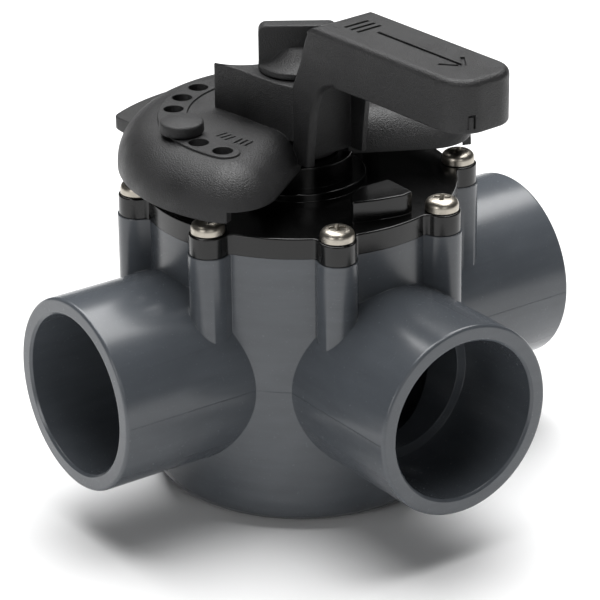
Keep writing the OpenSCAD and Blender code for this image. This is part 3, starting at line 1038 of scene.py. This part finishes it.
def handle_body(s):
    top = s.plate_top
    low = s.hood_low
    sides = (-1, 1)
    shell = join(hood(s, 0, low), *[hood_end(s, side, 0, low) for side in sides], tail_flange(s))
    wide = 120
    ends = [(0, -5)] + [(wide * cos(radians(a)), wide * sin(radians(a))) for a in (206, 270, 334)]
    shell = cut(
        shell,
        hood(s, s.skin, low - 1),
        *[hood_end(s, side, s.skin, low - 1) for side in sides],
        prism(ends, low - 3, s.hood_end_low),
        box((-11.2, -60, 100), (11.2, 0, 170)),
    )
    strips = [cut(strip, box((-14.3, -10, top - 3), (14.3, 20, top + 5))) for strip in index_strip(s)]
    column = rod(COLUMN_RADIUS, 130.1, s.hub_top, steps=96)
    shape = join(shell, *strips, hub_block(s), column, lever(s))
    holes = []
    first = radians(105)
    for i in range(7):
        a = first + i * s.index_step
        for side in sides:
            x, y = side * s.index_circle * cos(a), s.index_circle * sin(a)
            holes.append(rod(s.index_radius, top - 12, top + 8, x=x, y=y, steps=40))
    collar_room = rod(20.4, 100, 129.9, steps=128)
    knob_room = rod(15.7, s.hub_top, s.hub_top + 17, steps=96)
    square_drive = box((-7, -7, 120), (7, 7, 154.8))
    screw_hole = rod(4.4, 120, s.hub_top + 5, steps=48)
    washer_seat = rod(9.4, s.hub_top - 1.6, s.hub_top + 5, steps=64)
    shape = cut(
        shape, *lever_hollow(s), *holes, collar_room, knob_room, square_drive, screw_hole, washer_seat,
        tip_mark(s),
    )
    return cut(shape, *lever_marks(s), *plate_marks(s))


# ---- knob and pins ---------------------------------------------------------------------------------


def lock_knob(s):
    base = bpy.context.scene.valve_handle_sizes.hub_top / MM
    disc = lathe([
        (0, base + 0.3), (s.radius - 0.4, base + 0.3), (s.radius, base + 0.7), (s.radius, base + 2.6),
        (s.radius - 0.8, base + 3.2), (11.5, base + 4.1), (9, base + 5.6), (7, base + 7.6), (5, base + 9),
        (0, base + 9.6)], 96)
    top = top_of("lock_knob")
    corner = s.wing_corner
    half = s.radius - 0.1
    right = arc(half - corner, top - corner, corner, 0, 90, 6)
    outline = [(-half, base + 1.2), (half, base + 1.2)] + right + [(-x, z) for x, z in reversed(right)]
    wing = loft([[(x, y, z) for x, z in outline] for y in (-s.wing_thickness / 2, s.wing_thickness / 2)])
    wing = rounded(wing, s.edge, steps=3, chosen=lambda middle, direction: middle.z > base + 2)
    shape = join(disc, moved(wing, turn=s.wing_turn))
    screw_hole = rod(4.05, base - 1, base + 8, steps=48)
    return cut(shape, screw_hole)


def stop_pin(s, handle):
    """One stop pin in the index circle at angle zero."""
    top = handle.plate_top
    r = s.head_radius
    head = [(0, top + 0.85), (r - 1.2, top + 0.85), (r - 0.3, top + 1.2), (r, top + 2), (r - 0.1, top + 4.1)]
    crown = arc(r - 1.3, top + 4.3, 1.2, 0, 70, 4) + [(r - 3.5, top + 6), (r - 6, top + 6.3), (0, top + 6.4)]
    shape = join(lathe(head + crown, 64), rod(s.shank_radius, 121, top + 2, steps=40))
    half = s.slot_width / 2
    shape = cut(shape, box((-half, -6, 118), (half, 6, 132)))
    return moved(shape, x=handle.index_circle)


# ---- operators -------------------------------------------------------------------------------------


class VALVE_OT_body(Operator):
    """Build the moulded body with its three ports"""

    bl_idname = "valve.body"
    bl_label = "Body"

    def execute(self, context):
        sizes = millimetres(context.scene.valve_body_sizes)
        pvc = material(grey_pvc)
        make_piece(valve_body(sizes), "moulded_body", "valve", pvc, ["valve_body"])
        make_piece(parting_line(sizes), "parting_line", "valve", pvc)
        return {"FINISHED"}


class VALVE_OT_cover(Operator):
    """Build the gloss black cover with its lugs, collar and travel stop"""

    bl_idname = "valve.cover"
    bl_label = "Cover"

    def execute(self, context):
        sizes = millimetres(context.scene.valve_cover_sizes)
        make_piece(
            cover(sizes), "moulded_cover", "valve", material(gloss_abs), ["lid"]
        )
        return {"FINISHED"}


class VALVE_OT_cover_screws(Operator):
    """Build the eight pan head screws that hold the cover"""

    bl_idname = "valve.cover_screws"
    bl_label = "Cover Screws"

    def execute(self, context):
        sizes = millimetres(context.scene.valve_screw_sizes)
        circle = context.scene.valve_body_sizes.screw_circle / MM
        stand = top_of("valve_body") + context.scene.valve_cover_sizes.rim_height / MM + 0.05
        for i, a in enumerate(SCREW_ANGLES):
            screw = moved(cover_screw(sizes), turn=a + radians(20 + 31 * i))
            screw = moved(screw, x=circle * cos(a), y=circle * sin(a), z=stand)
            make_piece(
                screw, f"cover_screw_{i + 1}", "valve", material(stainless_steel),
                ["cover_screws"]
            )
        return {"FINISHED"}


class VALVE_OT_handle(Operator):
    """Build the indexed handle with its hood and hollow lever"""

    bl_idname = "valve.handle"
    bl_label = "Handle"

    def execute(self, context):
        sizes = millimetres(context.scene.valve_handle_sizes)
        shape = moved(handle_body(sizes), turn=sizes.turn)
        make_piece(shape, "indexed_handle", "rotor", material(grained_abs), ["handle"])
        return {"FINISHED"}


class VALVE_OT_lock_knob(Operator):
    """Build the wing knob that locks the handle"""

    bl_idname = "valve.lock_knob"
    bl_label = "Lock Knob"

    def execute(self, context):
        sizes = millimetres(context.scene.valve_knob_sizes)
        make_piece(
            lock_knob(sizes), "wing_knob", "knob", material(grained_abs), ["lock_knob"]
        )
        return {"FINISHED"}


class VALVE_OT_stop_pins(Operator):
    """Build the two domed stop pins"""

    bl_idname = "valve.stop_pins"
    bl_label = "Stop Pins"

    def execute(self, context):
        sizes = millimetres(context.scene.valve_pin_sizes)
        handle = millimetres(context.scene.valve_handle_sizes)
        for side, a in (("left", pi - sizes.offset), ("right", sizes.offset)):
            shape = moved(stop_pin(sizes, handle), turn=handle.turn + a)
            node = f"stop_pin_{side}"
            make_piece(
                shape, f"domed_pin_{side}", f"stop_{side}", material(grained_abs),
                [node]
            )
        return {"FINISHED"}


class VALVE_OT_inner_parts(Operator):
    """Give the bearings, seals, stem and diverter their finishes"""

    bl_idname = "valve.inner_parts"
    bl_label = "Inner Parts"

    finishes = {
        "lid_o_ring": nitrile_rubber, "stem_wiper": nitrile_rubber, "diverter_seal": nitrile_rubber,
        "stem_o_ring_upper": nitrile_rubber, "stem_o_ring_lower": nitrile_rubber,
        "pivot_bush": white_acetal, "thrust_washer": white_acetal,
        "stem": moulded_nylon, "diverter": moulded_nylon, "seal_retainer": moulded_nylon,
        "stem_insert": turned_brass, "knob_screw": stainless_steel, "knob_washer": stainless_steel,
    }

    def execute(self, context):
        for node, make in self.finishes.items():
            obj = frame["nodes"][node]
            obj.data.materials.clear()
            obj.data.materials.append(material(make))
        return {"FINISHED"}


class VALVE_OT_stage(Operator):
    """Add the floor, the soft lights and the camera"""

    bl_idname = "valve.stage"
    bl_label = "Stage"

    def execute(self, context):
        scene = context.scene
        floor = bpy.data.meshes.new("floor")
        half = 6
        middle = Vector((0, 0, 0.08))
        floor.from_pydata(
            [(-half, -half, 0), (half, -half, 0), (half, half, 0), (-half, half, 0)], [], [(0, 1, 2, 3)]
        )
        floor.materials.append(material(sweep_paper))
        floor_object = bpy.data.objects.new("floor", floor)
        floor_object.location.z = -0.02 * MM
        scene.collection.objects.link(floor_object)
        for name, place, size, power in (
            ("overhead_softbox", (0.3, 0.42, 1.9), 2.1, 90),
            ("left_softbox", (-1.6, -0.5, 0.6), 0.6, 5),
            ("front_softbox", (-0.5, -1.7, 0.8), 0.6, 2.5),
        ):
            light = bpy.data.lights.new(name, "AREA")
            light.shape = "SQUARE"
            light.size = size
            light.energy = power
            lamp = bpy.data.objects.new(name, light)
            lamp.location = place
            lamp.rotation_euler = (middle - lamp.location).to_track_quat("-Z", "Y").to_euler()
            scene.collection.objects.link(lamp)
        world = bpy.data.worlds.new("white_room")
        world.use_nodes = True
        world.node_tree.nodes["Background"].inputs["Color"].default_value = (1, 1, 1, 1)
        world.node_tree.nodes["Background"].inputs["Strength"].default_value = 0.06
        scene.world = world
        scene.view_settings.view_transform = "Standard"
        add_camera(scene)
        return {"FINISHED"}


def add_camera(scene):
    settings = scene.valve_camera
    a, e = settings.azimuth, settings.elevation
    back = Vector((sin(a) * cos(e), -cos(a) * cos(e), sin(e)))
    right = Vector((0, 0, 1)).cross(back).normalized()
    up = back.cross(right)
    lean = settings.roll
    right, up = cos(lean) * right + sin(lean) * up, cos(lean) * up - sin(lean) * right
    data = bpy.data.cameras.new("camera")
    data.lens = settings.lens
    data.sensor_width = 36
    data.shift_x, data.shift_y = settings.shift
    camera = bpy.data.objects.new("camera", data)
    turn = Matrix((right, up, back)).transposed().to_4x4()
    camera.matrix_world = Matrix.Translation(settings.distance * back + Vector(settings.aim)) @ turn
    scene.collection.objects.link(camera)
    scene.camera = camera


PIECES = (
    VALVE_OT_body, VALVE_OT_cover, VALVE_OT_cover_screws, VALVE_OT_handle, VALVE_OT_lock_knob,
    VALVE_OT_stop_pins, VALVE_OT_inner_parts, VALVE_OT_stage,
)


class VALVE_PT_panel(Panel):
    bl_idname = "VALVE_PT_panel"
    bl_label = "Three Way Valve"
    bl_space_type = "VIEW_3D"
    bl_region_type = "UI"
    bl_category = "Valve"

    def draw(self, context):
        for piece in PIECES:
            self.layout.operator(piece.bl_idname)


GROUPS = {
    "valve_body_sizes": BodySizes, "valve_cover_sizes": CoverSizes, "valve_screw_sizes": ScrewSizes,
    "valve_handle_sizes": HandleSizes, "valve_knob_sizes": KnobSizes, "valve_pin_sizes": PinSizes,
    "valve_colours": FinishColours, "valve_camera": CameraSettings,
}


def register():
    for name, group in GROUPS.items():
        bpy.utils.register_class(group)
        setattr(bpy.types.Scene, name, PointerProperty(type=group))
    for item in (*PIECES, VALVE_PT_panel):
        bpy.utils.register_class(item)


def unregister():
    for item in (VALVE_PT_panel, *reversed(PIECES)):
        bpy.utils.unregister_class(item)
    for name, group in GROUPS.items():
        delattr(bpy.types.Scene, name)
        bpy.utils.unregister_class(group)


def main():
    register()
    for piece in PIECES:
        group, name = piece.bl_idname.split(".")
        getattr(getattr(bpy.ops, group), name)()


if __name__ == "__main__":
    main()
